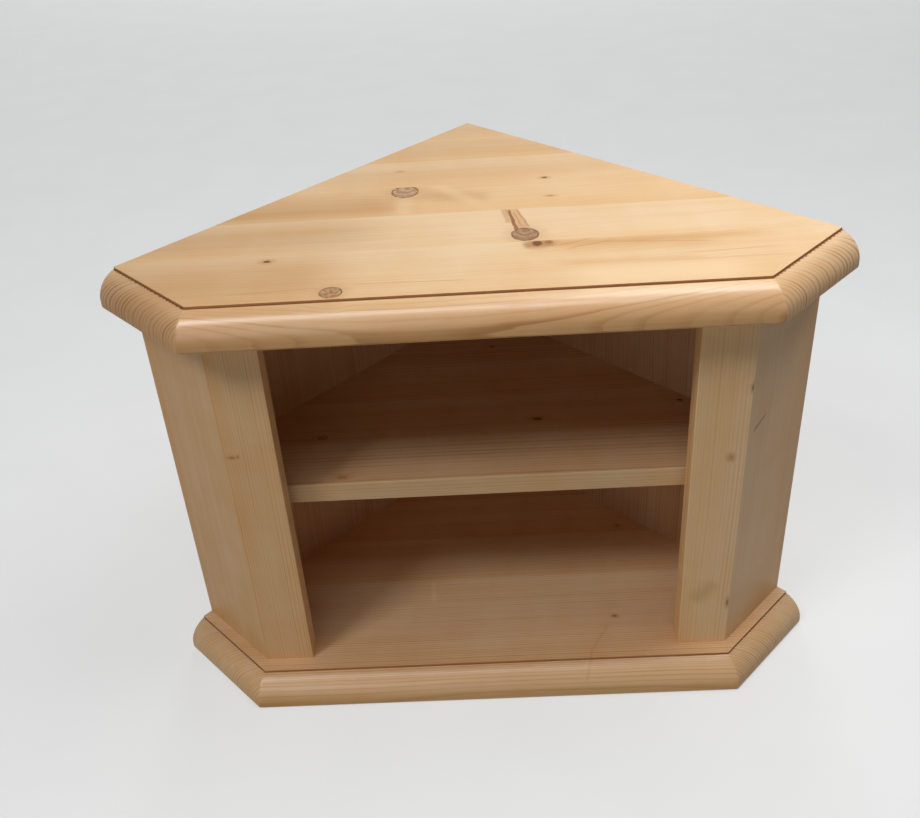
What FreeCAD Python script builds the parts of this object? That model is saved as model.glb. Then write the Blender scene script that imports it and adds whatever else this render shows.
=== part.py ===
import FreeCAD, Part
import math
import os

from FreeCAD import Rotation, Vector

# Open corner cabinet of solid softwood, for a television in the corner of a room.
# Millimetres. +X is right as seen from the front, +Y points into the corner of the room and +Z is up.
# The origin is under the middle of the bounding box, on the surface that the base board stands on.
# "Along the left wall" and "along the right wall" are distances from the corner of the room.

# Top and base board
board_leg = 434.0            # along each wall, from the corner to the outermost point of the nosing
board_return = 113.0         # from the wall to the front corner, square to the wall
board_thickness = 32.0
nosing_projection = 18.0     # from the foot of the quirk to the outermost point of the nosing
nosing_land = 7.0            # height of the upright part of the nosing, above the underside
quirk_depth = 2.0            # step down from the flat face to the nosing
quirk_ledge = 0.6            # flat at the foot of that step
mitre_easing = 4.0           # radius along the two mitred corners of the nosing
lower_edge_easing = 3.0      # radius along the lower edge of the nosing

# Carcass
carcass_height = 368.0       # between the two boards
return_overhang = 28.0       # nosing past the face of a return panel
front_overhang = 32.0        # nosing past the face of a stile
frame_thickness = 20.0       # return panels and stiles
stile_width = 45.0
corner_easing = 1.5          # radius of the outer corner between return panel and stile
edge_easing = 1.0            # radius of the other edges that a hand can reach

# Back panels
back_thickness = 14.0
rabbet_depth = 10.0          # how far the end of a back panel is let into the return panel
glue_gap = 0.1               # room for glue at the bottom of a joint

# Shelf
shelf_height = 190.0         # from the base board to the upper face of the shelf
shelf_thickness = 20.0
shelf_setback = 8.0          # from the rear face of the stiles to the front edge of the shelf
housing_depth = 5.0          # how far the shelf is let into the panels round it

# Loose tongue in the mitre between return panel and stile
spline_thickness = 4.0
spline_width = 16.0
spline_end_distance = 24.0   # from each end of the mitre

# Dowels in the frame and, thinner, in the back panels
frame_dowel_diameter = 8.0
frame_dowel_length = 38.0
frame_dowel_end_distance = 30.0     # from the ends of a return panel
back_dowel_diameter = 6.0
back_dowel_length = 30.0
back_dowel_end_distance = 60.0      # from the ends of a back panel
back_dowel_count = 3
dowel_chamfer = 1.0
dowel_end_gap = 1.0                 # left empty at each end of a dowel

# Countersunk screws
screw_diameter = 3.5
screw_length = 35.0
screw_head_diameter = 7.0
screw_tip_length = 5.0
screw_end_distance = 40.0           # from the boards and from the shelf
screw_recess_length = 3.8
screw_recess_width = 1.0
screw_recess_depth = 1.6
fit_clearance = 0.1                 # round a dowel, a screw or a tongue

# Holes in the back panels for the screws that go into the walls
hang_hole_diameter = 6.0
hang_hole_countersink = 12.0        # diameter on the inner face
hang_hole_drop = 40.0               # below the top board
hang_hole_from_corner = 110.0
hang_hole_from_return = 86.0        # from the inner face of the return panel

# Sizes that follow from those above
root_two = math.sqrt(2.0)
board_depth = (board_leg + board_return) / root_two
corner = Vector(0.0, board_depth / 2.0, 0.0)
up = Vector(0.0, 0.0, 1.0)
along_left_wall = Vector(-1.0, -1.0, 0.0) / root_two
along_right_wall = Vector(1.0, -1.0, 0.0) / root_two
carcass_bottom = board_thickness
carcass_top = board_thickness + carcass_height
return_face = board_leg - return_overhang
return_inner_face = return_face - frame_thickness
front_face = board_depth - front_overhang
front_inner_face = front_face - frame_thickness
return_length = front_face * root_two - return_face
opening_width = (return_face - return_length) * root_two - 2.0 * stile_width
back_panel_end = return_inner_face + rabbet_depth
shelf_top = carcass_bottom + shelf_height
shelf_bottom = shelf_top - shelf_thickness
shelf_front = front_inner_face - shelf_setback
reach = 2.0 * board_leg + board_depth       # longer than anything here, for cutting shapes
tolerance = 1e-4                            # two points nearer than this are one


# Helpers

def plan(on_left_wall, on_right_wall):
    """Point on the ground, from its distances along the two walls."""
    return corner + along_left_wall * on_left_wall + along_right_wall * on_right_wall


def plan_before_front(on_left_wall, from_corner):
    """Point on the ground on a line parallel to the front, that far from the corner."""
    return plan(on_left_wall, from_corner * root_two - on_left_wall)


def prism(points, bottom, top):
    """Upright solid over a closed outline on the ground."""
    raised = [point + up * bottom for point in points]
    return Part.Face(Part.makePolygon(raised + raised[:1])).extrude(up * (top - bottom))


def mirrored(shape):
    """The same shape on the other side of the cabinet."""
    return shape.mirror(Vector(0.0, 0.0, 0.0), Vector(1.0, 0.0, 0.0))


def upright_edge_at(shape, point):
    """The vertical edge of a shape that stands over a point on the ground."""
    for edge in shape.Edges:
        first, last = edge.Vertexes[0].Point, edge.Vertexes[-1].Point
        over_point = all((end - point).cross(up).Length < tolerance for end in (first, last))
        if over_point and abs(first.z - last.z) > tolerance:
            return edge


def turned(points):
    """Solid of revolution about the Z axis through the origin, from points of radius and height."""
    outline = [Vector(radius, 0.0, height) for radius, height in points]
    face = Part.Face(Part.makePolygon(outline + outline[:1]))
    return face.revolve(Vector(0.0, 0.0, 0.0), up, 360.0)


def placed(shape, position, direction):
    """A copy of a shape whose own Z axis points along a direction, moved to a position."""
    copy = shape.copy()
    copy.Placement = FreeCAD.Placement(position, Rotation(up, direction))
    return copy


# Fasteners

def dowel(diameter, length):
    """Dowel with chamfered ends, standing on its middle."""
    radius = diameter / 2.0
    half = length / 2.0
    return turned([
        (0.0, -half),
        (radius - dowel_chamfer, -half),
        (radius, dowel_chamfer - half),
        (radius, half - dowel_chamfer),
        (radius - dowel_chamfer, half),
        (0.0, half),
    ])


def dowel_hole(diameter, length):
    """Hole for a dowel, with room left at both of its ends."""
    radius = diameter / 2.0 + fit_clearance
    half = length / 2.0 + dowel_end_gap
    return turned([(0.0, -half), (radius, -half), (radius, half), (0.0, half)])


def screw_body(clearance):
    """Countersunk screw from its head at zero to its tip, swollen by a clearance."""
    head = screw_head_diameter / 2.0 + clearance
    shank = screw_diameter / 2.0 + clearance
    return turned([
        (0.0, 0.0),
        (head, 0.0),
        (shank, head - shank),
        (shank, screw_length - screw_tip_length),
        (0.0, screw_length + clearance),
    ])


def screw():
    """Countersunk screw with a cross recess in its head."""
    half_length = screw_recess_length / 2.0
    half_width = screw_recess_width / 2.0
    slots = []
    for along, across in ((half_length, half_width), (half_width, half_length)):
        slot = Part.makeBox(2.0 * along, 2.0 * across, screw_recess_depth, Vector(-along, -across, 0.0))
        slots.append(slot)
    return screw_body(0.0).cut(slots)


# Places of the fasteners

def return_dowel_places():
    """Dowels stand on the middle plane of each return panel, near its two ends."""
    middle = return_inner_face + frame_thickness / 2.0
    places = []
    for from_wall in (frame_dowel_end_distance, return_length - frame_dowel_end_distance):
        places += [plan(middle, from_wall), plan(from_wall, middle)]
    return places


def stile_dowel_places():
    """One dowel stands in the middle of each stile."""
    middle = (opening_width + stile_width) / 2.0
    depth = corner.y - front_face + frame_thickness / 2.0
    return [Vector(-middle, depth, 0.0), Vector(middle, depth, 0.0)]


def back_dowel_places():
    """Dowels are spread evenly along the middle plane of each back panel."""
    middle = back_thickness / 2.0
    first = back_thickness + back_dowel_end_distance
    last = back_panel_end - back_dowel_end_distance
    step = (last - first) / (back_dowel_count - 1)
    places = []
    for number in range(back_dowel_count):
        along_wall = first + number * step
        places += [plan(along_wall, middle), plan(middle, along_wall)]
    return places


def screw_heights():
    """Two screws in each compartment, clear of the boards and of the shelf."""
    return [
        carcass_bottom + screw_end_distance,
        shelf_bottom - screw_end_distance,
        shelf_top + screw_end_distance,
        carcass_top - screw_end_distance,
    ]


def left_back_screw_places():
    """Screws through the end of the left back panel into the return panel's rabbet."""
    in_rabbet = return_inner_face + rabbet_depth / 2.0
    return [plan(in_rabbet, 0.0) + up * height for height in screw_heights()]


def rear_corner_screw_places():
    """Screws through the left back panel into the end of the right back panel."""
    in_right_panel = back_thickness / 2.0
    return [plan(in_right_panel, 0.0) + up * height for height in screw_heights()]


def dowels_at(places, diameter, length, height):
    """Group of equal dowels standing at one height."""
    single = dowel(diameter, length)
    return Part.makeCompound([placed(single, place + up * height, up) for place in places])


def dowel_holes(height):
    """Every dowel hole at the joint between the carcass and one board."""
    frame_hole = dowel_hole(frame_dowel_diameter, frame_dowel_length)
    back_hole = dowel_hole(back_dowel_diameter, back_dowel_length)
    frame_places = return_dowel_places() + stile_dowel_places()
    holes = [placed(frame_hole, place + up * height, up) for place in frame_places]
    holes += [placed(back_hole, place + up * height, up) for place in back_dowel_places()]
    return holes


def carcass_dowel_holes():
    """Every dowel hole at both ends of the carcass."""
    return dowel_holes(carcass_bottom) + dowel_holes(carcass_top)


def screws_at(places, direction):
    """Group of equal screws driven the same way."""
    single = screw()
    return Part.makeCompound([placed(single, place, direction) for place in places])


def screw_holes(places, direction):
    """The room that a group of screws takes up."""
    single = screw_body(fit_clearance)
    return [placed(single, place, direction) for place in places]


# Boards

def nosed_prism(quirk_point, outward, along):
    """Endless board with the nosing on one edge, up to the foot of the quirk."""
    foot = board_thickness - quirk_depth
    rise = foot - nosing_land
    run = nosing_projection - quirk_ledge
    radius = (run * run + rise * rise) / (2.0 * run)
    centre = nosing_projection - radius
    half_turn = math.atan2(rise, quirk_ledge - centre) / 2.0

    def section_point(out, height):
        return quirk_point + outward * out - along * reach + up * height

    top_of_land = section_point(nosing_projection, nosing_land)
    on_arc = section_point(
        centre + radius * math.cos(half_turn),
        nosing_land + radius * math.sin(half_turn),
    )
    end_of_arc = section_point(quirk_ledge, foot)
    straight = Part.makePolygon([
        end_of_arc,
        section_point(-reach, foot),
        section_point(-reach, 0.0),
        section_point(nosing_projection, 0.0),
        top_of_land,
    ])
    arc = Part.Arc(top_of_land, on_arc, end_of_arc).toShape()
    section = Part.Face(Part.Wire(straight.Edges + [arc]))
    return section.extrude(along * (2.0 * reach))


def is_mitre_edge(edge, mitre_corner, mitre_direction):
    """True for the edges where the nosings of the front and of a return meet."""
    sideways = mitre_direction.cross(up)
    ends = [edge.valueAt(edge.FirstParameter), edge.valueAt(edge.LastParameter)]
    on_plane = all(abs((end - mitre_corner).dot(sideways)) < tolerance for end in ends)
    return on_plane and abs(ends[0].z - ends[1].z) > tolerance


def is_lower_edge(edge):
    """True for the edges of the underside that don't lie against a wall."""
    box = edge.BoundBox
    if box.ZMax > tolerance:
        return False
    middle = edge.valueAt((edge.FirstParameter + edge.LastParameter) / 2.0) - corner
    return middle.dot(along_left_wall) > tolerance and middle.dot(along_right_wall) > tolerance


def plain_board():
    """Board standing on the ground, nosed on its front and on both returns."""
    quirk_leg = board_leg - nosing_projection
    quirk_front = board_depth - nosing_projection
    walls = prism([corner, plan(reach, 0.0), plan(0.0, reach)], 0.0, board_thickness)
    nosings = [
        nosed_prism(plan(quirk_leg, 0.0), along_left_wall, along_right_wall),
        nosed_prism(plan(0.0, quirk_leg), along_right_wall, along_left_wall),
        nosed_prism(corner - Vector(0.0, quirk_front, 0.0), Vector(0.0, -1.0, 0.0), Vector(1.0, 0.0, 0.0)),
    ]
    body = walls
    for nosing in nosings:
        body = body.common(nosing)

    left_quirk_corner = plan_before_front(quirk_leg, quirk_front)
    left_outer_corner = plan_before_front(board_leg, board_depth)
    mitre_edges = []
    for side in (1.0, -1.0):
        mitre_corner = Vector(side * left_outer_corner.x, left_outer_corner.y, 0.0)
        quirk_corner = Vector(side * left_quirk_corner.x, left_quirk_corner.y, 0.0)
        direction = (quirk_corner - mitre_corner).normalize()
        mitre_edges += [edge for edge in body.Edges if is_mitre_edge(edge, mitre_corner, direction)]
    body = body.makeFillet(mitre_easing, mitre_edges)
    body = body.makeFillet(lower_edge_easing, [edge for edge in body.Edges if is_lower_edge(edge)])

    flat = [
        corner,
        plan(quirk_leg, 0.0),
        left_quirk_corner,
        Vector(-left_quirk_corner.x, left_quirk_corner.y, 0.0),
        plan(0.0, quirk_leg),
    ]
    return body.fuse(prism(flat, 0.0, board_thickness)).removeSplitter()


def base_board():
    return plain_board().cut(dowel_holes(carcass_bottom))


def top_board():
    board = plain_board()
    board.translate(up * carcass_top)
    return board.cut(dowel_holes(carcass_top))


# Front corners: a return panel and a stile, mitred and held by a loose tongue

def mitre_line():
    """Outer and inner end of the left mitre, on the ground."""
    outer = plan_before_front(return_face, front_face)
    inner = plan_before_front(return_inner_face, front_inner_face)
    return outer, inner


def left_front_corner():
    """Return panel and stile of the left side as one piece, with its edges eased."""
    outer, inner = mitre_line()
    opening_front = Vector(-opening_width / 2.0, outer.y, 0.0)
    opening_back = Vector(-opening_width / 2.0, inner.y, 0.0)
    outline = [
        plan(return_face, 0.0),
        outer,
        opening_front,
        opening_back,
        inner,
        plan(return_inner_face, 0.0),
    ]
    body = prism(outline, carcass_bottom, carcass_top)
    body = body.makeFillet(corner_easing, [upright_edge_at(body, outer)])
    opening_edges = [upright_edge_at(body, opening_front), upright_edge_at(body, opening_back)]
    return body.makeFillet(edge_easing, opening_edges)


def stile_side():
    """Everything on the stile's side of the left mitre."""
    outer, inner = mitre_line()
    along = (inner - outer).normalize()
    towards_stile = along.cross(up)
    far_outside = outer - along * reach
    far_inside = inner + along * reach
    outline = [
        far_outside,
        far_inside,
        far_inside + towards_stile * reach,
        far_outside + towards_stile * reach,
    ]
    return prism(outline, carcass_bottom, carcass_top)


def tongue(clearance):
    """The loose tongue of the left mitre, swollen by a clearance."""
    outer, inner = mitre_line()
    along = (inner - outer).normalize()
    across = along.cross(up)
    middle = (outer + inner) / 2.0
    half_along = along * (spline_thickness / 2.0 + clearance)
    half_across = across * (spline_width / 2.0 + clearance)
    outline = [
        middle - half_along - half_across,
        middle + half_along - half_across,
        middle + half_along + half_across,
        middle - half_along + half_across,
    ]
    end_distance = spline_end_distance - clearance
    return prism(outline, carcass_bottom + end_distance, carcass_top - end_distance)


def left_mitre_spline():
    return tongue(0.0)


def left_stile():
    stile = left_front_corner().common(stile_side())
    return stile.cut([tongue(fit_clearance)] + carcass_dowel_holes())


def left_return_panel():
    panel = left_front_corner().cut(stile_side())
    rabbet_outline = [
        plan(return_inner_face - glue_gap, 0.0),
        plan(back_panel_end, 0.0),
        plan(back_panel_end, back_thickness),
        plan(return_inner_face - glue_gap, back_thickness),
    ]
    rabbet = prism(rabbet_outline, carcass_bottom, carcass_top)
    screws = screw_holes(left_back_screw_places(), along_right_wall)
    tools = [rabbet, shelf_housing(), tongue(fit_clearance)] + screws + carcass_dowel_holes()
    return panel.cut(tools)


# Back panels and shelf

def hang_hole(along_wall, wall, inward):
    """Through hole for a wall screw, countersunk on the inner face of a back panel."""
    radius = hang_hole_diameter / 2.0
    rim = hang_hole_countersink / 2.0
    hole = turned([
        (0.0, 0.0),
        (radius, 0.0),
        (radius, back_thickness - (rim - radius)),
        (rim, back_thickness),
        (0.0, back_thickness),
    ])
    place = corner + wall * along_wall + up * (carcass_top - hang_hole_drop)
    return placed(hole, place, inward)


def hang_holes(wall, inward):
    """The two hanging holes of one back panel."""
    places = (hang_hole_from_corner, return_inner_face - hang_hole_from_return)
    return [hang_hole(along_wall, wall, inward) for along_wall in places]


def left_back_panel():
    """The left back panel runs right into the corner."""
    end = back_panel_end - glue_gap
    outline = [
        corner,
        plan(end, 0.0),
        plan(end, back_thickness),
        plan(0.0, back_thickness),
    ]
    panel = prism(outline, carcass_bottom, carcass_top)
    places = left_back_screw_places() + rear_corner_screw_places()
    tools = screw_holes(places, along_right_wall) + hang_holes(along_left_wall, along_right_wall)
    return panel.cut(tools + [shelf_housing()] + carcass_dowel_holes())


def right_back_panel():
    """The right back panel butts against the left one."""
    end = back_panel_end - glue_gap
    outline = [
        plan(0.0, back_thickness),
        plan(back_thickness, back_thickness),
        plan(back_thickness, end),
        plan(0.0, end),
    ]
    panel = prism(outline, carcass_bottom, carcass_top)
    edge_screws = screw_holes(rear_corner_screw_places(), along_right_wall)
    rabbet_screws = [mirrored(hole) for hole in screw_holes(left_back_screw_places(), along_right_wall)]
    tools = edge_screws + rabbet_screws + hang_holes(along_right_wall, along_left_wall)
    return panel.cut(tools + [shelf_housing()] + carcass_dowel_holes())


def shelf_body(clearance):
    """The shelf between its housings, swollen by a clearance at its edges."""
    near = back_thickness - housing_depth - clearance
    far = return_inner_face + housing_depth + clearance
    front = shelf_front + clearance
    left_front = plan_before_front(far, front)
    outline = [
        plan(near, near),
        plan(far, near),
        left_front,
        Vector(-left_front.x, left_front.y, 0.0),
        plan(near, far),
    ]
    return prism(outline, shelf_bottom, shelf_top)


def shelf():
    body = shelf_body(0.0)
    front = corner.y - shelf_front
    front_edges = []
    for edge in body.Edges:
        along_front = abs(edge.BoundBox.YMax - front) < tolerance
        if along_front and edge.BoundBox.ZLength < tolerance:
            front_edges.append(edge)
    return body.makeFillet(edge_easing, front_edges)


def shelf_housing():
    """What the shelf takes out of the panels round it."""
    return shelf_body(glue_gap)


# The pieces by name

def frame_dowels(places, height):
    return dowels_at(places, frame_dowel_diameter, frame_dowel_length, height)


def back_dowels(height):
    return dowels_at(back_dowel_places(), back_dowel_diameter, back_dowel_length, height)


def pieces():
    """Every piece of the cabinet by its name."""
    left_screws = screws_at(left_back_screw_places(), along_right_wall)
    found = {
        "base_board": base_board(),
        "top_board": top_board(),
        "left_return_panel": left_return_panel(),
        "left_stile": left_stile(),
        "left_mitre_spline": left_mitre_spline(),
        "left_back_screws": left_screws,
        "left_back_panel": left_back_panel(),
        "right_back_panel": right_back_panel(),
        "rear_corner_screws": screws_at(rear_corner_screw_places(), along_right_wall),
        "shelf": shelf(),
        "base_return_dowels": frame_dowels(return_dowel_places(), carcass_bottom),
        "top_return_dowels": frame_dowels(return_dowel_places(), carcass_top),
        "base_stile_dowels": frame_dowels(stile_dowel_places(), carcass_bottom),
        "top_stile_dowels": frame_dowels(stile_dowel_places(), carcass_top),
        "base_back_dowels": back_dowels(carcass_bottom),
        "top_back_dowels": back_dowels(carcass_top),
    }
    for name in ("return_panel", "stile", "mitre_spline", "back_screws"):
        found["right_" + name] = mirrored(found["left_" + name])
    return found


os.makedirs("parts", exist_ok=True)
for name, shape in pieces().items():
    shape.exportStep("parts/" + name + ".step")
    state = "valid" if shape.isValid() else "not valid"
    print(name, len(shape.Solids), "solids", round(shape.Volume), "mm3", state)
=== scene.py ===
# Looks of the corner cabinet: lacquered spruce boards, beech joinery and zinc-plated screws.
# Lengths that end in _mm, and all sizes of the wood figure, are millimetres; the scene itself is in metres.
from dataclasses import dataclass
from math import cos, pi, radians, sin, sqrt

import bpy
from mathutils import Matrix, Vector


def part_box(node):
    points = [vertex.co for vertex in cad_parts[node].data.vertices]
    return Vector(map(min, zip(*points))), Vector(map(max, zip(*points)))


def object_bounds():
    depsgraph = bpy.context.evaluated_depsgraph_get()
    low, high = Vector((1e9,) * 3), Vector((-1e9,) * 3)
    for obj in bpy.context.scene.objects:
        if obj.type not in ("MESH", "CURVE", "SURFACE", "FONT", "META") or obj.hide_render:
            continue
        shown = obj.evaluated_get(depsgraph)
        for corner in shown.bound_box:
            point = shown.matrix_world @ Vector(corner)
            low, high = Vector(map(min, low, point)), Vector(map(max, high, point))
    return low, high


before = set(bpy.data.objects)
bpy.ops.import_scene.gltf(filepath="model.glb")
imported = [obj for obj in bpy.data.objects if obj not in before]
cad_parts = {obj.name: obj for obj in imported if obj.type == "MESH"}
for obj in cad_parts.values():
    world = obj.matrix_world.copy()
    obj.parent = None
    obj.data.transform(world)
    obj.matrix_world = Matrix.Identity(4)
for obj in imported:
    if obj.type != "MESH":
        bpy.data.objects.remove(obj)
cad_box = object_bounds()

MM = 0.001
PER_METRE = 1000

# Directions in the row frame: the walls meet behind the cabinet and run forward at 45 degrees
RIGHT = Vector((1, 0, 0))
BACK = Vector((0, 1, 0))
UP = Vector((0, 0, 1))
LEFT_WALL = Vector((-1, -1, 0)).normalized()
RIGHT_WALL = Vector((1, -1, 0)).normalized()


def srgb(red, green, blue):
    """A colour written as 0 to 255 screen values, as the linear colour that a shader takes."""
    def linear(value):
        share = value / 255
        return share / 12.92 if share <= 0.04045 else ((share + 0.055) / 1.055) ** 2.4
    return linear(red), linear(green), linear(blue), 1.0


# Colours of the wood: pale earlywood and darker latewood, knots, and the edge that the cutter burnt; the
# top's and the inside boards' earlywood and latewood are painted light and painted shade
SPRUCE_EARLY = srgb(238, 194, 142)
SPRUCE_LATE = srgb(198, 138, 84)
PALE = srgb(248, 216, 172)
# The top's paler earlywood and latewood are painted light, for the strong light on its flat face
LIT_TOP_EARLY = srgb(240, 205, 161)
LIT_TOP_LATE = srgb(206, 152, 100)
EDGE = srgb(236, 190, 138)
END_LATE = srgb(168, 112, 68)
# The inside boards' deeper earlywood and latewood are painted shade, for the shade inside the cabinet
SHADED_INSIDE_EARLY = srgb(226, 184, 141)
SHADED_INSIDE_LATE = srgb(182, 130, 90)
AMBER = srgb(200, 142, 86)
KNOT_HEART = srgb(212, 175, 136)
KNOT_RINGS = srgb(152, 106, 70)
KNOT_DARK = srgb(134, 97, 74)
KNOT_RIM = srgb(88, 56, 38)
PIN_KNOT = srgb(104, 58, 38)
BURNT = srgb(146, 97, 62)
SCORCHED = srgb(204, 142, 94)

# Factors on the colour beneath, for broad zones of deeper and of warmer wood, and of painted shade
DEEPER = (0.79, 0.69, 0.60, 1.0)
WARMER = (0.86, 0.72, 0.56, 1.0)

# How far the nosing stands out from the small step beside the flat top
NOSING_PROJECTION_MM = 18


class Field:
    """A value that varies over a surface. Arithmetic on it adds the shader nodes that work it out."""

    def __init__(self, graph, socket):
        self.graph = graph
        self.socket = socket

    def __add__(self, other):
        return self.graph.math("ADD", self, other)

    def __sub__(self, other):
        return self.graph.math("SUBTRACT", self, other)

    def __rsub__(self, other):
        return self.graph.math("SUBTRACT", other, self)

    def __mul__(self, other):
        return self.graph.math("MULTIPLY", self, other)

    def __truediv__(self, other):
        return self.graph.math("DIVIDE", self, other)

    __radd__ = __add__
    __rmul__ = __mul__


class Graph:
    """The shader nodes of one material or world, with a short call for each kind of node that is used."""

    def __init__(self, owner, shader="Principled BSDF"):
        owner.use_nodes = True
        self.owner = owner
        self.tree = owner.node_tree
        self.shader = self.tree.nodes[shader]

    def feed(self, socket, value):
        """Links a field to a socket, or sets a plain number or colour on it."""
        if isinstance(value, Field):
            self.tree.links.new(value.socket, socket)
        else:
            socket.default_value = value

    def node(self, kind, inputs, output=0, **settings):
        node = self.tree.nodes.new(kind)
        for name, value in settings.items():
            setattr(node, name, value)
        for key, value in inputs.items():
            self.feed(node.inputs[key], value)
        return Field(self, node.outputs[output])

    def math(self, operation, first, second=0.0, third=0.0):
        return self.node("ShaderNodeMath", {0: first, 1: second, 2: third}, operation=operation)

    def least(self, first, second):
        return self.math("MINIMUM", first, second)

    def most(self, first, second):
        return self.math("MAXIMUM", first, second)

    def size(self, value):
        return self.math("ABSOLUTE", value)

    def floor(self, value):
        return self.math("FLOOR", value)

    def vector(self, x=0.0, y=0.0, z=0.0):
        return self.node("ShaderNodeCombineXYZ", {0: x, 1: y, 2: z})

    def dot(self, vector, direction):
        return self.node("ShaderNodeVectorMath", {0: vector, 1: direction}, "Value", operation="DOT_PRODUCT")

    def length(self, vector):
        return self.node("ShaderNodeVectorMath", {0: vector}, "Value", operation="LENGTH")

    def scaled(self, vector, factors, shift=(0, 0, 0)):
        inputs = {0: vector, 1: factors, 2: shift}
        return self.node("ShaderNodeVectorMath", inputs, operation="MULTIPLY_ADD")

    def surface(self, kind):
        """The surface's own coordinates in metres (Object) or its outward direction (Normal)."""
        return self.node("ShaderNodeTexCoord", {}, kind)

    def step(self, value, low, high):
        """0 at low, 1 at high, smooth between. Low may be the greater of the two."""
        inputs = {"Value": value, "From Min": low, "From Max": high}
        return self.node("ShaderNodeMapRange", inputs, interpolation_type="SMOOTHSTEP")

    def between(self, value, low, high):
        """Turns a value from 0 to 1 into one from low to high."""
        return self.math("MULTIPLY_ADD", value, high - low, low)

    def noise(self, vector, detail):
        return self.node("ShaderNodeTexNoise", {"Vector": vector, "Scale": 1.0, "Detail": detail})

    def chance(self, x, y):
        """A random number from 0 to 1 for each pair of numbers."""
        inputs = {"Vector": self.vector(x, y)}
        return self.node("ShaderNodeTexWhiteNoise", inputs, "Value", noise_dimensions="2D")

    def blend(self, first, second, share, kind="MIX"):
        """The first colour, going over to the second as the share goes from 0 to 1."""
        inputs = {0: share, 6: first, 7: second}
        return self.node("ShaderNodeMix", inputs, 2, data_type="RGBA", blend_type=kind)

    def brighten(self, colour, factor):
        return self.node("ShaderNodeHueSaturation", {"Color": colour, "Value": factor})

    def deepen(self, colour, amount):
        """Makes a colour deeper and more saturated where the amount is above 0, and a little paler below."""
        gamma = self.most(amount, -0.07) * 2 + 1
        return self.node("ShaderNodeGamma", {"Color": colour, "Gamma": gamma})

    def bump(self, height, distance, strength):
        inputs = {"Height": height, "Distance": distance, "Strength": strength}
        return self.node("ShaderNodeBump", inputs)

    def seen(self):
        """1 for rays from the camera, from a gloss or through glass, and 0 for rays that only carry light."""
        kinds = ("Is Camera Ray", "Is Glossy Ray", "Is Transmission Ray")
        camera_ray, glossy_ray, glass_ray = (self.node("ShaderNodeLightPath", {}, kind) for kind in kinds)
        return self.most(self.most(camera_ray, glossy_ray), glass_ray)


@dataclass
class Board:
    """How a board was sawn, glued up and finished, in millimetres of the row frame and degrees."""
    node: str
    # Directions of the grain and across the staves, and where the staves meet
    grain: Vector
    across: Vector
    seed: float
    glue_lines: tuple = ()
    stave_tones: tuple = ()
    # Rings lie about a pith this far off, at about this tilt from the board's width
    tilt: float = 0
    pith: float = 160
    ring_width: float = 3.2
    # The rings' bend along the board: its middle, and its depth over the distance squared
    bow: tuple = (0, 0)
    # Wander of the rings along the board, in long and in short waves
    lean: float = 8
    wobble: float = 1.2
    # Share of a ring at which its latewood starts, on the broad faces and on the others
    late_start: float = 0.4
    edge_late_start: float = 0.52
    # Earlywood on the broad faces and on the edges, latewood, and how strongly the latewood shows
    early: tuple = SPRUCE_EARLY
    edge: tuple = SPRUCE_EARLY
    late: tuple = SPRUCE_LATE
    faintest: float = 0.3
    face_contrast: float = 0.35
    edge_contrast: float = 0.5
    end_contrast: float = 0.95
    # A factor on the board's brightness, which is painted light or painted shade where it isn't 1
    tone: float = 1.0
    # The lacquer, with a coat on the upper round of a moulding
    roughness: float = 0.45
    specular: float = 0.2
    coat: float = 0.0
    # Knots and pin knots are (along, side, length, width, darkness)
    knots: tuple = ()
    pins: tuple = ()
    strokes: tuple = ()
    # Factor on how far the burnt brown reaches past the step beside a moulding
    burn: float = 0


@dataclass
class Stroke:
    """A band of another colour on a board's face, from one point (along, side) to another."""
    start: tuple
    end: tuple
    width: float
    colour: tuple
    strength: float
    softness: float = 1.0
    flare: float = 1.0
    kind: str = "MIX"


class Wood:
    """Coordinates of one board in millimetres, shared by the steps that make its material."""

    def __init__(self, board):
        self.board = board
        self.graph = graph = Graph(bpy.data.materials.new("lacquered_spruce_" + board.node))
        self.low, self.high = (Vector(corner) * PER_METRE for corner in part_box(board.node))
        through = board.grain.cross(board.across)
        self.place = graph.scaled(graph.surface("Object"), (PER_METRE,) * 3)
        self.along = graph.dot(self.place, board.grain)
        self.side = graph.dot(self.place, board.across)
        self.deep = graph.dot(self.place, through) - through.dot((self.low + self.high) / 2)
        self.flat = graph.vector(self.along, self.side)
        facing = graph.surface("Normal")
        self.end_grain = graph.step(graph.size(graph.dot(facing, board.grain)), 0.2, 0.6)
        self.broad = graph.step(graph.size(graph.dot(facing, through)), 0.7, 0.98)
        self.waver = graph.noise(self.stretched(30, 9, 7), 2) - 0.5

    def stretched(self, along_mm, across_mm, salt):
        """The board's coordinates, scaled for a noise with patches of this length and width."""
        graph = self.graph
        shift = self.board.seed * 7.31 + salt * 3.17
        factors = (1 / along_mm, 1 / across_mm, 1 / across_mm)
        place = graph.vector(self.along, self.side, self.deep)
        return graph.scaled(place, factors, (shift, shift * 0.7, shift * 0.3))


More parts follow.
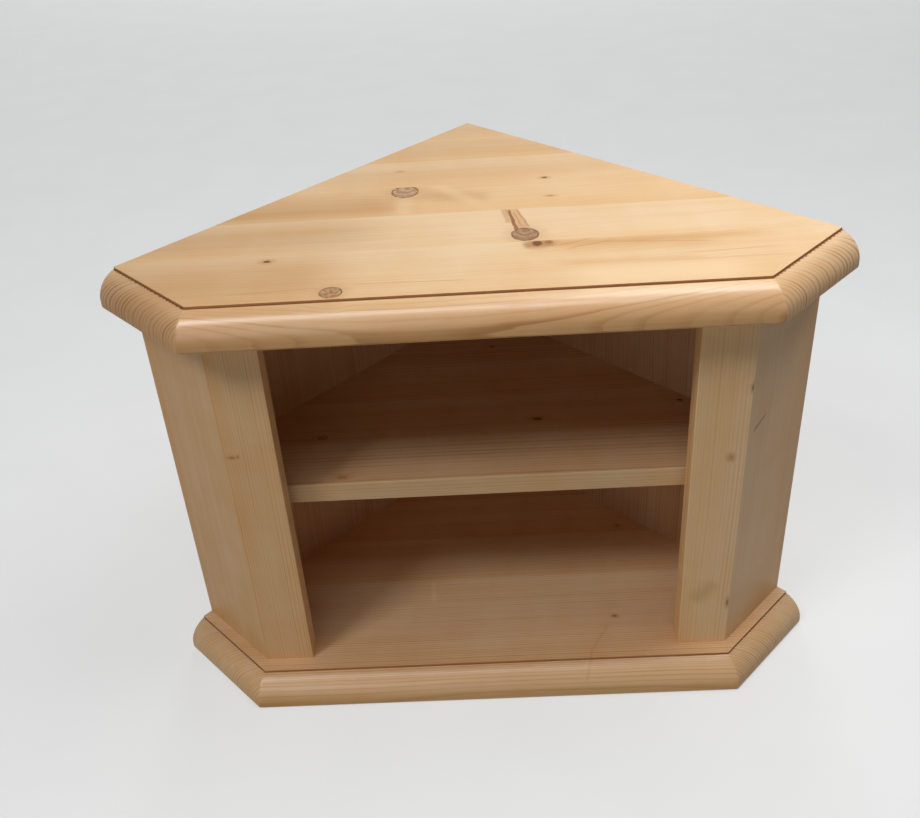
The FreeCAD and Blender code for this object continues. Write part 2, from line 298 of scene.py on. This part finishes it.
class Staves:
    """The strips that a board is glued up from: number, middle and tone at each point, and the glue."""

    def __init__(self, wood):
        graph, board = wood.graph, wood.board
        low, high = sorted(board.across.dot(corner) for corner in (wood.low, wood.high))
        edges = (low, *board.glue_lines, high)
        middles = [(first + second) / 2 for first, second in zip(edges, edges[1:])]
        tones = board.stave_tones or (1.0,) * len(middles)
        self.number, self.middle, self.tone, self.glue = 0.0, middles[0], tones[0], 0.0
        for index, line in enumerate(board.glue_lines):
            passed = graph.math("GREATER_THAN", wood.side, line)
            self.number = passed + self.number
            self.middle = passed * (middles[index + 1] - middles[index]) + self.middle
            self.tone = passed * (tones[index + 1] - tones[index]) + self.tone
            self.glue = graph.step(graph.size(wood.side - line), 0.5, 0.1) + self.glue
        self.luck = graph.chance(self.number, board.seed)
        self.aside = wood.side - self.middle
        self.wood = wood

    def others(self, side):
        """1 on every stave but the one that this line across the board lies on."""
        lines = self.wood.board.glue_lines
        own = sum(side > line for line in lines)
        return self.wood.graph.least(self.wood.graph.size(self.number - own), 1.0) if lines else 0.0


def growth_rings(wood, staves, push):
    """Strength of the dark latewood, from rings about a pith that runs along the board."""
    graph, board = wood.graph, wood.board
    lean = (graph.noise(wood.stretched(280, 150, 1), 1) - 0.5) * board.lean
    wobble = (graph.noise(wood.stretched(55, 12, 2), 2) - 0.5) * board.wobble
    bow_middle, bow_amount = board.bow
    bowed = wood.along - bow_middle
    angle = (graph.between(staves.luck, -16, 16) + board.tilt) * (pi / 180)
    pith = board.pith * graph.between(staves.luck, 0.8, 1.2)
    aside = staves.aside - bowed * bowed * bow_amount + lean + push - pith * graph.math("COSINE", angle)
    deep = wood.deep - pith * graph.math("SINE", angle)
    radius = graph.length(graph.vector(aside, deep)) + wobble
    width_change = graph.noise(graph.vector(radius / 16, staves.luck * 40), 1)
    turn = (radius + width_change * 9) / board.ring_width
    ring = graph.floor(turn)
    age = turn - ring
    late_start = graph.between(wood.broad, board.edge_late_start, board.late_start)
    late = graph.step(age, late_start, 0.92) * graph.step(age, 1.0, 0.94)
    luck = graph.chance(ring, board.seed + 2.5)
    return late * graph.between(luck * luck, board.faintest, 1.0)


class Marks:
    """Distance to the nearest of some round marks, 1 on its rim, and to its eye, and how dark it is."""

    def __init__(self, wood, staves, marks):
        graph = wood.graph
        self.distance, self.eye, self.shade = 9.0, 9.0, 0.0
        for along, side, length, width, shade in marks:
            factors = (2 / length, 2 / width, 0)
            shift = Vector((-2 * along / length, -2 * side / width, 0))
            distance = graph.length(graph.scaled(wood.flat, factors, shift)) + staves.others(side) * 9
            eye = graph.length(graph.scaled(wood.flat, factors, shift - Vector((0.1, 0.6, 0))))
            self.distance = graph.least(distance, self.distance)
            self.eye = graph.least(eye, self.eye)
            self.shade = graph.step(distance, 1.3, 1.1) * shade + self.shade


def stroke_colour(wood, staves, colour, stroke):
    """Paints a band with soft or hard edges, which widens or narrows and stays on the stave it is on."""
    graph = wood.graph
    start, end = Vector(stroke.start), Vector(stroke.end)
    run = end - start
    ahead = run.normalized()
    lengthwise = Vector((*ahead, 0)) / run.length
    sideways = Vector((-ahead.y, ahead.x, 0))
    place = graph.scaled(wood.flat, (1, 1, 0), (-start.x, -start.y, 0))
    reach = graph.dot(place, lengthwise)
    half_width = graph.between(reach, stroke.width / 2, stroke.width * stroke.flare / 2)
    offset = graph.size(graph.dot(place, sideways) + wood.waver * 2) / half_width
    fade = 0.02 + 0.3 * stroke.softness
    inside = graph.step(reach, -fade / 2, fade / 2) * graph.step(reach, 1 + fade / 2, 1 - fade / 2)
    inside = inside * graph.step(offset, 1.0, 0.8 * (1 - stroke.softness))
    on_stave = 1 - staves.others((start + end).y / 2)
    return graph.blend(colour, stroke.colour, inside * on_stave * stroke.strength, stroke.kind)


def tint(start, end, width, strength, colour=DEEPER):
    """A broad soft stroke of deeper or warmer wood, or of painted shade, with the figure still showing in it.
    """
    return Stroke(start, end, width, colour, strength, kind="MULTIPLY")


def knot_colour(wood, colour, knots):
    """Paints sawn knots: a brown heart with rings about an eye, a dark rim, and amber wood around them."""
    graph = wood.graph
    uneven = graph.noise(graph.scaled(wood.place, (0.16,) * 3), 2) - 0.5
    distance = knots.distance + uneven * 0.16
    colour = graph.blend(colour, AMBER, graph.step(distance, 2.2, 0.9) * 0.25)
    rings = graph.math("SINE", knots.eye * 11 + uneven * 9) * 0.5 + 0.5
    cloud = graph.step(graph.noise(graph.scaled(wood.place, (0.3, 0.3, 0.1)), 2), 0.42, 0.65)
    heart = graph.blend(KNOT_HEART, KNOT_RINGS, graph.most(rings * 0.65, cloud * 0.4))
    heart = graph.blend(heart, KNOT_DARK, knots.shade * graph.between(rings, 0.8, 1.2))
    colour = graph.blend(colour, heart, graph.step(distance, 1.04, 0.96))
    rim = graph.step(distance, 0.86, 0.96) * graph.step(distance, 1.08, 1.0)
    return graph.blend(colour, KNOT_RIM, rim * graph.between(cloud, 0.45, 0.9))


def pin_colour(wood, colour, pins):
    """Paints pin knots: a dark speck with amber wood drawn out along the grain."""
    graph = wood.graph
    uneven = graph.noise(graph.scaled(wood.place, (0.4,) * 3), 2) - 0.5
    distance = pins.distance + uneven * 0.6
    colour = graph.blend(colour, AMBER, graph.step(distance, 3.2, 0.9) * 0.45)
    return graph.blend(colour, PIN_KNOT, graph.step(distance, 1.15, 0.6) * pins.shade)


def burnt_quirk(wood, colour, late):
    """Browns the step that the cutter burnt beside the moulding, in teeth where it crosses the grain."""
    graph = wood.graph
    corner = Vector((0, wood.high.y, 0))
    quirk_leg = wood.high.x * sqrt(2) - NOSING_PROJECTION_MM
    past_left, past_right = (
        graph.dot(wood.place, wall) - wall.dot(corner) - quirk_leg for wall in (LEFT_WALL, RIGHT_WALL))
    past_front = wood.low.y + NOSING_PROJECTION_MM - wood.side
    past = graph.most(graph.most(past_left, past_right), past_front)
    below_top = wood.high.z - graph.dot(wood.place, UP)
    crossing = graph.step(past_front, 0, -1)
    reach = (crossing * graph.step(late, 0.0, 0.3) + 1.3) * wood.board.burn
    burnt = graph.step(below_top, 0.1, 0.3) * graph.step(past, -0.5, -0.2)
    burnt = burnt * graph.step(past - reach, 0.25, -0.25)
    brown = graph.blend(SCORCHED, BURNT, graph.step(below_top, 1.6, 1.95))
    return graph.blend(colour, brown, burnt)


def lacquer(wood, colour, late, fibre):
    """Satin lacquer, rougher on earlywood and end grain, with a gloss on the upper round of mouldings."""
    graph = wood.graph
    shader = graph.shader
    cloud = graph.noise(wood.stretched(50, 30, 8), 2)
    roughness = wood.board.roughness - 0.07 + cloud * 0.08 + fibre * 0.06
    roughness = roughness - late * 0.05 + wood.end_grain * 0.06
    graph.feed(shader.inputs["Base Color"], colour)
    graph.feed(shader.inputs["Roughness"], roughness)
    graph.feed(shader.inputs["Normal"], graph.bump(late * 0.5 + fibre, 0.04 * MM, 0.5))
    upward = graph.step(graph.dot(graph.surface("Normal"), UP), 0.0, 0.6)
    upper_round = upward * graph.between(wood.broad, 1, 0.05)
    graph.feed(shader.inputs["Coat Weight"], upper_round * (1 - wood.end_grain * 0.7) * wood.board.coat)
    shader.inputs["Specular IOR Level"].default_value = wood.board.specular
    shader.inputs["Coat Roughness"].default_value = 0.27
    shader.inputs["Coat IOR"].default_value = 2.0


def bare_wood(wood, staves, late, fibre):
    """The sawn wood before its marks: earlywood and latewood, with broad and fine changes of tone, and the
    board's tone, which is painted light or painted shade where it isn't 1.
    """
    graph, board = wood.graph, wood.board
    clear = graph.noise(wood.stretched(150, 20, 9), 1)
    contrast = graph.between(wood.broad, board.edge_contrast, board.face_contrast)
    contrast = contrast * graph.between(clear, 0.2, 1.8)
    contrast = graph.most(contrast, wood.end_grain * board.end_contrast)
    earlywood = graph.blend(board.edge, board.early, wood.broad)
    latewood = graph.blend(board.late, END_LATE, wood.end_grain)
    colour = graph.blend(earlywood, latewood, late * contrast)

    patch = graph.noise(wood.stretched(120, 36, 4), 2)
    flame = graph.noise(wood.stretched(26, 60, 5), 2)
    band = graph.noise(wood.stretched(400, 8, 6), 1)
    shade = (patch - 0.5) * 0.20 + (flame - 0.5) * 0.12 + (band - 0.5) * 0.14 + (fibre - 0.5) * 0.12
    shade = shade + (staves.luck - 0.5) * 0.04 + staves.aside * 0.0011 - staves.glue * 0.08
    shade = shade + wood.end_grain * 0.05
    return graph.brighten(graph.deepen(colour, 1 - staves.tone - shade), board.tone)


def spruce(board):
    """The finished material of one spruce board."""
    wood = Wood(board)
    graph = wood.graph
    staves = Staves(wood)
    knots = Marks(wood, staves, board.knots)
    pins = Marks(wood, staves, board.pins)
    push = 0.0
    if board.knots:
        push = graph.step(knots.distance, 3.0, 0.4) * 7 + push
    if board.pins:
        push = graph.step(pins.distance, 4.0, 0.5) * 3 + push
    late = growth_rings(wood, staves, push)
    fibre = graph.noise(wood.stretched(45, 0.9, 3), 2)

    colour = bare_wood(wood, staves, late, fibre)
    for stroke in board.strokes:
        colour = stroke_colour(wood, staves, colour, stroke)
    if board.knots:
        colour = knot_colour(wood, colour, knots)
    if board.pins:
        colour = pin_colour(wood, colour, pins)
    if board.burn:
        colour = burnt_quirk(wood, colour, late)
    lacquer(wood, colour, late, fibre)
    return graph.owner


def beech():
    """Plain beech of the dowels and splines: pinkish, with short dark rays."""
    graph = Graph(bpy.data.materials.new("beech_joinery"))
    place = graph.scaled(graph.surface("Object"), (PER_METRE,) * 3)
    rays = graph.step(graph.noise(graph.scaled(place, (1.4, 1.4, 0.35)), 3), 0.52, 0.66)
    cloud = graph.noise(graph.scaled(place, (0.12,) * 3), 2)
    colour = graph.blend(srgb(214, 170, 128), srgb(176, 124, 84), rays * 0.6)
    graph.feed(graph.shader.inputs["Base Color"], graph.brighten(colour, graph.between(cloud, 0.9, 1.1)))
    graph.feed(graph.shader.inputs["Roughness"], graph.between(cloud, 0.5, 0.65))
    graph.feed(graph.shader.inputs["Normal"], graph.bump(rays, 0.03 * MM, 0.4))
    return graph.owner


def zinc_steel():
    """Yellow zinc plating of the screws, with cloudy tarnish and fine scratches."""
    graph = Graph(bpy.data.materials.new("yellow_zinc_steel"))
    place = graph.scaled(graph.surface("Object"), (PER_METRE,) * 3)
    cloud = graph.noise(graph.scaled(place, (0.8,) * 3), 3)
    scratch = graph.noise(graph.scaled(place, (6.0, 6.0, 1.0)), 2)
    colour = graph.blend(srgb(222, 196, 140), srgb(190, 186, 170), graph.step(cloud, 0.4, 0.7))
    graph.feed(graph.shader.inputs["Base Color"], colour)
    graph.feed(graph.shader.inputs["Roughness"], graph.between(cloud, 0.24, 0.40))
    graph.feed(graph.shader.inputs["Normal"], graph.bump(scratch, 0.02 * MM, 0.3))
    graph.shader.inputs["Metallic"].default_value = 1.0
    return graph.owner


def evenly(start, spacing, count):
    """Glue lines at an even spacing."""
    return tuple(start + spacing * index for index in range(count))


# Boards as they lie in the photographed cabinet
BOARDS = (
    Board(
        "top_board", RIGHT, BACK, seed=3, glue_lines=(-95.5, -31, 30, 93, 150),
        stave_tones=(0.98, 1.03, 0.92, 0.98, 0.95, 0.98), bow=(-30, 0.0003), ring_width=3.0,
        early=LIT_TOP_EARLY, edge=EDGE, late=LIT_TOP_LATE, face_contrast=0.2, edge_contrast=0.85,
        roughness=0.36, specular=0.06, coat=1.0, burn=0.7,
        knots=((-59.5, 19.5, 24, 26, 0.0), (43, -82, 22.5, 23.5, 0.4), (-109.5, -165, 17.5, 17, 0.15)),
        pins=(
            (-167, -107, 7, 4.5, 0.9),
            (68, 35, 6, 3.5, 0.9),
            (70, -7, 6, 2.5, 0.4),
            (-66, 69, 5, 2.5, 0.2),
            # The long knot in front of the dark one
            (51.5, -100, 9, 11, 0.8),
            (61, -99, 8, 7, 0.4),
            # Specks in the small knot at the front edge
            (-109, -164, 3, 2.5, 0.8),
            (-113, -167, 4, 3, 0.4),
            (-107, -170.5, 5, 2.5, 0.4),
        ),
        strokes=(
            # A brown fan with darker streaks runs from the dark knot to the glue line behind it
            Stroke((42, -70), (33, -26), 14, AMBER, 0.45, softness=0.3),
            Stroke((31, -58), (27, -26), 7, AMBER, 0.5, softness=0.5),
            Stroke((36.5, -74), (32, -33), 4.6, KNOT_RINGS, 0.95, softness=0.3, flare=0.6),
            Stroke((41, -66), (36, -38), 2.0, AMBER, 0.7, softness=0.6),
            Stroke((47, -68), (39, -33), 2.6, KNOT_RINGS, 0.5, softness=0.8),
            # The long knot in front of it is a brown patch with a tail of curled lines
            Stroke((41, -103), (64, -100), 19, KNOT_RINGS, 0.6, softness=0.8),
            tint((54, -101), (230, -102), 24, 0.7, WARMER),
            tint((58, -106), (190, -114), 36, 0.5, WARMER),
            Stroke((68, -106), (96, -96), 3.0, AMBER, 0.5),
            Stroke((76, -112), (112, -101), 3.0, AMBER, 0.45),
            Stroke((104, -103), (190, -112), 3.4, AMBER, 0.4),
            tint((72, -138), (180, -140), 14, 0.6, WARMER),
            Stroke((150, -142), (245, -141), 3.5, AMBER, 0.3),
            Stroke((165, -130), (240, -127), 3.5, AMBER, 0.3),
            # Dark and pale wood lies around the round knot
            tint((-240, -16), (-60, -12), 54, 0.9),
            tint((-240, 8), (-72, 10), 50, 0.5),
            tint((-46, 10), (14, -2), 44, 0.6),
            Stroke((-60, 8), (-59, -31), 26, PALE, 0.45),
            Stroke((-34, 34), (8, -18), 24, PALE, 0.4),
            # The front staves are darker towards their left ends: painted shade, for the shaded left part of
            # the top
            tint((-340, -62), (-90, -62), 110, 0.85),
            tint((-340, -140), (-110, -140), 160, 0.85),
            # Painted shade darkens the top towards the rear corner, and painted light makes it paler at the
            # right of the front edge
            tint((-150, 62), (150, 62), 90, 0.3),
            tint((-120, 120), (120, 120), 100, 0.45),
            tint((-60, 172), (60, 172), 80, 0.45),
            Stroke((80, -160), (205, -160), 60, PALE, 0.8),
            # Thin lines beside the front edge
            Stroke((-185, -160), (-122, -157), 2.4, AMBER, 0.45),
            Stroke((-98, -153), (-10, -156), 2.4, AMBER, 0.45),
        ),
    ),
    Board(
        "base_board", RIGHT, BACK, seed=8, glue_lines=evenly(-64, 63, 4), tilt=6, ring_width=2.1,
        lean=3, wobble=0.5, late_start=0.55, early=srgb(234, 194, 150), edge=srgb(242, 195, 138),
        faintest=0.5, face_contrast=0.75, end_contrast=0.6,
        roughness=0.36, specular=0.15, coat=1.0, burn=0.45,
        pins=((120, -124, 5, 3, 0.6), (141, 7, 4, 2.5, 0.3)),
        strokes=(
            Stroke((-60, -66), (-58, -96), 9, PALE, 0.3),
            Stroke((112, -136), (95, -162), 5, AMBER, 0.25),
            Stroke((95, -162), (86, -190), 5, AMBER, 0.3),
        ),
    ),
    # The shelf's inside colours and its tone below 1 are painted shade, for the shade inside the cabinet
    Board(
        "shelf", RIGHT, BACK, seed=13, glue_lines=evenly(-70, 63, 4), tilt=50, ring_width=2.6,
        lean=6, wobble=0.8, early=SHADED_INSIDE_EARLY, edge=srgb(242, 203, 152), late=SHADED_INSIDE_LATE,
        faintest=0.4, face_contrast=0.5, edge_contrast=0.25, tone=0.92,
        knots=((-152, -64, 9, 7, 0.3),),
        pins=((52, -50, 10, 5, 0.8), (191, -30, 6, 4, 0.8), (14, 85, 5, 3, 0.7), (-128, -125, 10, 5, 0.3)),
    ),
    # Its tone above 1 is painted light that brightens it
    Board(
        "left_stile", UP, RIGHT, seed=21, ring_width=2.3, lean=3, wobble=0.5, late_start=0.5,
        faintest=0.5, face_contrast=0.5, tone=1.1,
        pins=((277.5, -212, 2, 5, 0.4), (278, -207, 2, 2, 0.3)),
    ),
    # Its tone above 1 is painted light that brightens it
    Board(
        "right_stile", UP, RIGHT, seed=25, early=srgb(240, 200, 150), face_contrast=0.3, tone=1.14,
        pins=((253, 207, 5, 4, 0.2), (323, 218.9, 6, 2, 0.6), (83, 217.5, 8, 2, 0.5)),
        strokes=(Stroke((88, 186), (108, 204), 26, AMBER, 0.3),),
    ),
    Board("left_return_panel", UP, RIGHT_WALL, seed=32, early=srgb(233, 184, 126), face_contrast=0.2),
    # Its tone above 1 is painted light that brightens it
    Board(
        "right_return_panel", UP, LEFT_WALL, seed=36, early=EDGE, face_contrast=0.2, tone=1.1,
        strokes=(Stroke((275, -50), (283, -67), 6, KNOT_DARK, 0.7, flare=0.5),),
    ),
    # The back panels' inside colours are painted shade, for the shade inside the cabinet; their tones set how
    # deep it is
    Board(
        "left_back_panel", UP, LEFT_WALL, seed=41, glue_lines=evenly(60, 70, 4),
        early=SHADED_INSIDE_EARLY, late=SHADED_INSIDE_LATE, face_contrast=0.5, tone=1.02,
    ),
    Board(
        "right_back_panel", UP, RIGHT_WALL, seed=47, glue_lines=evenly(60, 70, 4),
        early=SHADED_INSIDE_EARLY, late=SHADED_INSIDE_LATE, face_contrast=0.5, tone=0.86,
    ),
)


def dress():
    """Gives every CAD node its material."""
    finishes = {"beech": beech(), "screw_steel": zinc_steel()}
    for board in BOARDS:
        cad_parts[board.node].material_slots[0].material = spruce(board)
    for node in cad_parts.values():
        for slot in node.material_slots:
            slot.material = finishes.get(slot.material.name.split(".")[0], slot.material)


def floor():
    """A plain pale floor, lifted towards white where the camera or a gloss sees it."""
    graph = Graph(bpy.data.materials.new("pale_floor"))
    cloud = graph.noise(graph.scaled(graph.surface("Object"), (9,) * 3), 3)
    pale = graph.blend(srgb(226, 227, 227), srgb(221, 222, 222), cloud)
    graph.feed(graph.shader.inputs["Base Color"], graph.brighten(pale, 0.62))
    graph.feed(graph.shader.inputs["Roughness"], graph.between(cloud, 0.75, 0.85))
    graph.feed(graph.shader.inputs["Emission Color"], pale)
    graph.feed(graph.shader.inputs["Emission Strength"], graph.seen() * 0.65)
    reach = 5
    corners = [(-reach, -reach, 0), (reach, -reach, 0), (reach, reach, 0), (-reach, reach, 0)]
    mesh = bpy.data.meshes.new("floor")
    mesh.from_pydata(corners, [], [(0, 1, 2, 3)])
    mesh.materials.append(graph.owner)
    piece = bpy.data.objects.new("floor", mesh)
    bpy.context.collection.objects.link(piece)


def surround():
    """A pale room to look at and to be mirrored, which lights the cabinet only a little."""
    graph = Graph(bpy.data.worlds.new("surround"), "Background")
    graph.feed(graph.shader.inputs["Strength"], graph.between(graph.seen(), 0.02, 0.55))
    graph.shader.inputs["Color"].default_value = (1.0, 1.0, 1.0, 1)
    bpy.context.scene.world = graph.owner


def lamp(name, turn, rise, distance, width, height, watts, mirrored=True):
    """A soft light aimed at the cabinet, turned in degrees from its front to the right and risen above level.

    One that isn't mirrored lights the wood without showing in the lacquer.
    """
    turn, rise = radians(turn), radians(rise)
    way = Vector((cos(rise) * sin(turn), -cos(rise) * cos(turn), sin(rise)))
    light = bpy.data.lights.new(name, "AREA")
    light.shape = "RECTANGLE"
    light.size = width
    light.size_y = height
    light.energy = watts
    piece = bpy.data.objects.new(name, light)
    piece.visible_camera = False
    piece.visible_glossy = mirrored
    piece.location = (Vector(cad_box[0]) + Vector(cad_box[1])) / 2 + way * distance
    piece.rotation_euler = (-way).to_track_quat("-Z", "Y").to_euler()
    bpy.context.collection.objects.link(piece)


def lights():
    """Soft light from the front left, the right and far behind, with less from above and low in front."""
    lamp("key", -47, 50, 3.4, 0.8, 0.8, 26)
    lamp("window", 78, 66, 1.1, 0.6, 0.6, 4.3)
    lamp("ceiling", 70, 74, 1.2, 0.6, 0.6, 2.2)
    lamp("strip", -8, 59, 1.7, 0.95, 0.35, 2.8)
    lamp("fill", -20, 15, 1.7, 0.8, 0.8, 1.4)
    lamp("rear", 178, 11, 6.0, 2.4, 1.6, 125, mirrored=False)


def camera():
    """The photograph's camera: a level turn, a downward tilt and a small roll."""
    turn, tilt, roll = radians(-2.427), radians(-31.570), radians(-4.212)
    data = bpy.data.cameras.new("camera")
    data.sensor_width = 36
    data.lens = 40.26
    data.shift_x = 0.01843
    data.shift_y = -0.06860
    data.clip_start = 0.01
    piece = bpy.data.objects.new("camera", data)
    place = Matrix.Translation((0.00152, -0.84891, 0.80022))
    level_aim = Matrix.Rotation(-turn, 4, "Z") @ Matrix.Rotation(pi / 2 + tilt, 4, "X")
    piece.matrix_world = place @ level_aim @ Matrix.Rotation(roll, 4, "Z")
    bpy.context.collection.objects.link(piece)
    bpy.context.scene.camera = piece


dress()
floor()
surround()
lights()
camera()
bpy.context.scene.view_settings.view_transform = "Standard"
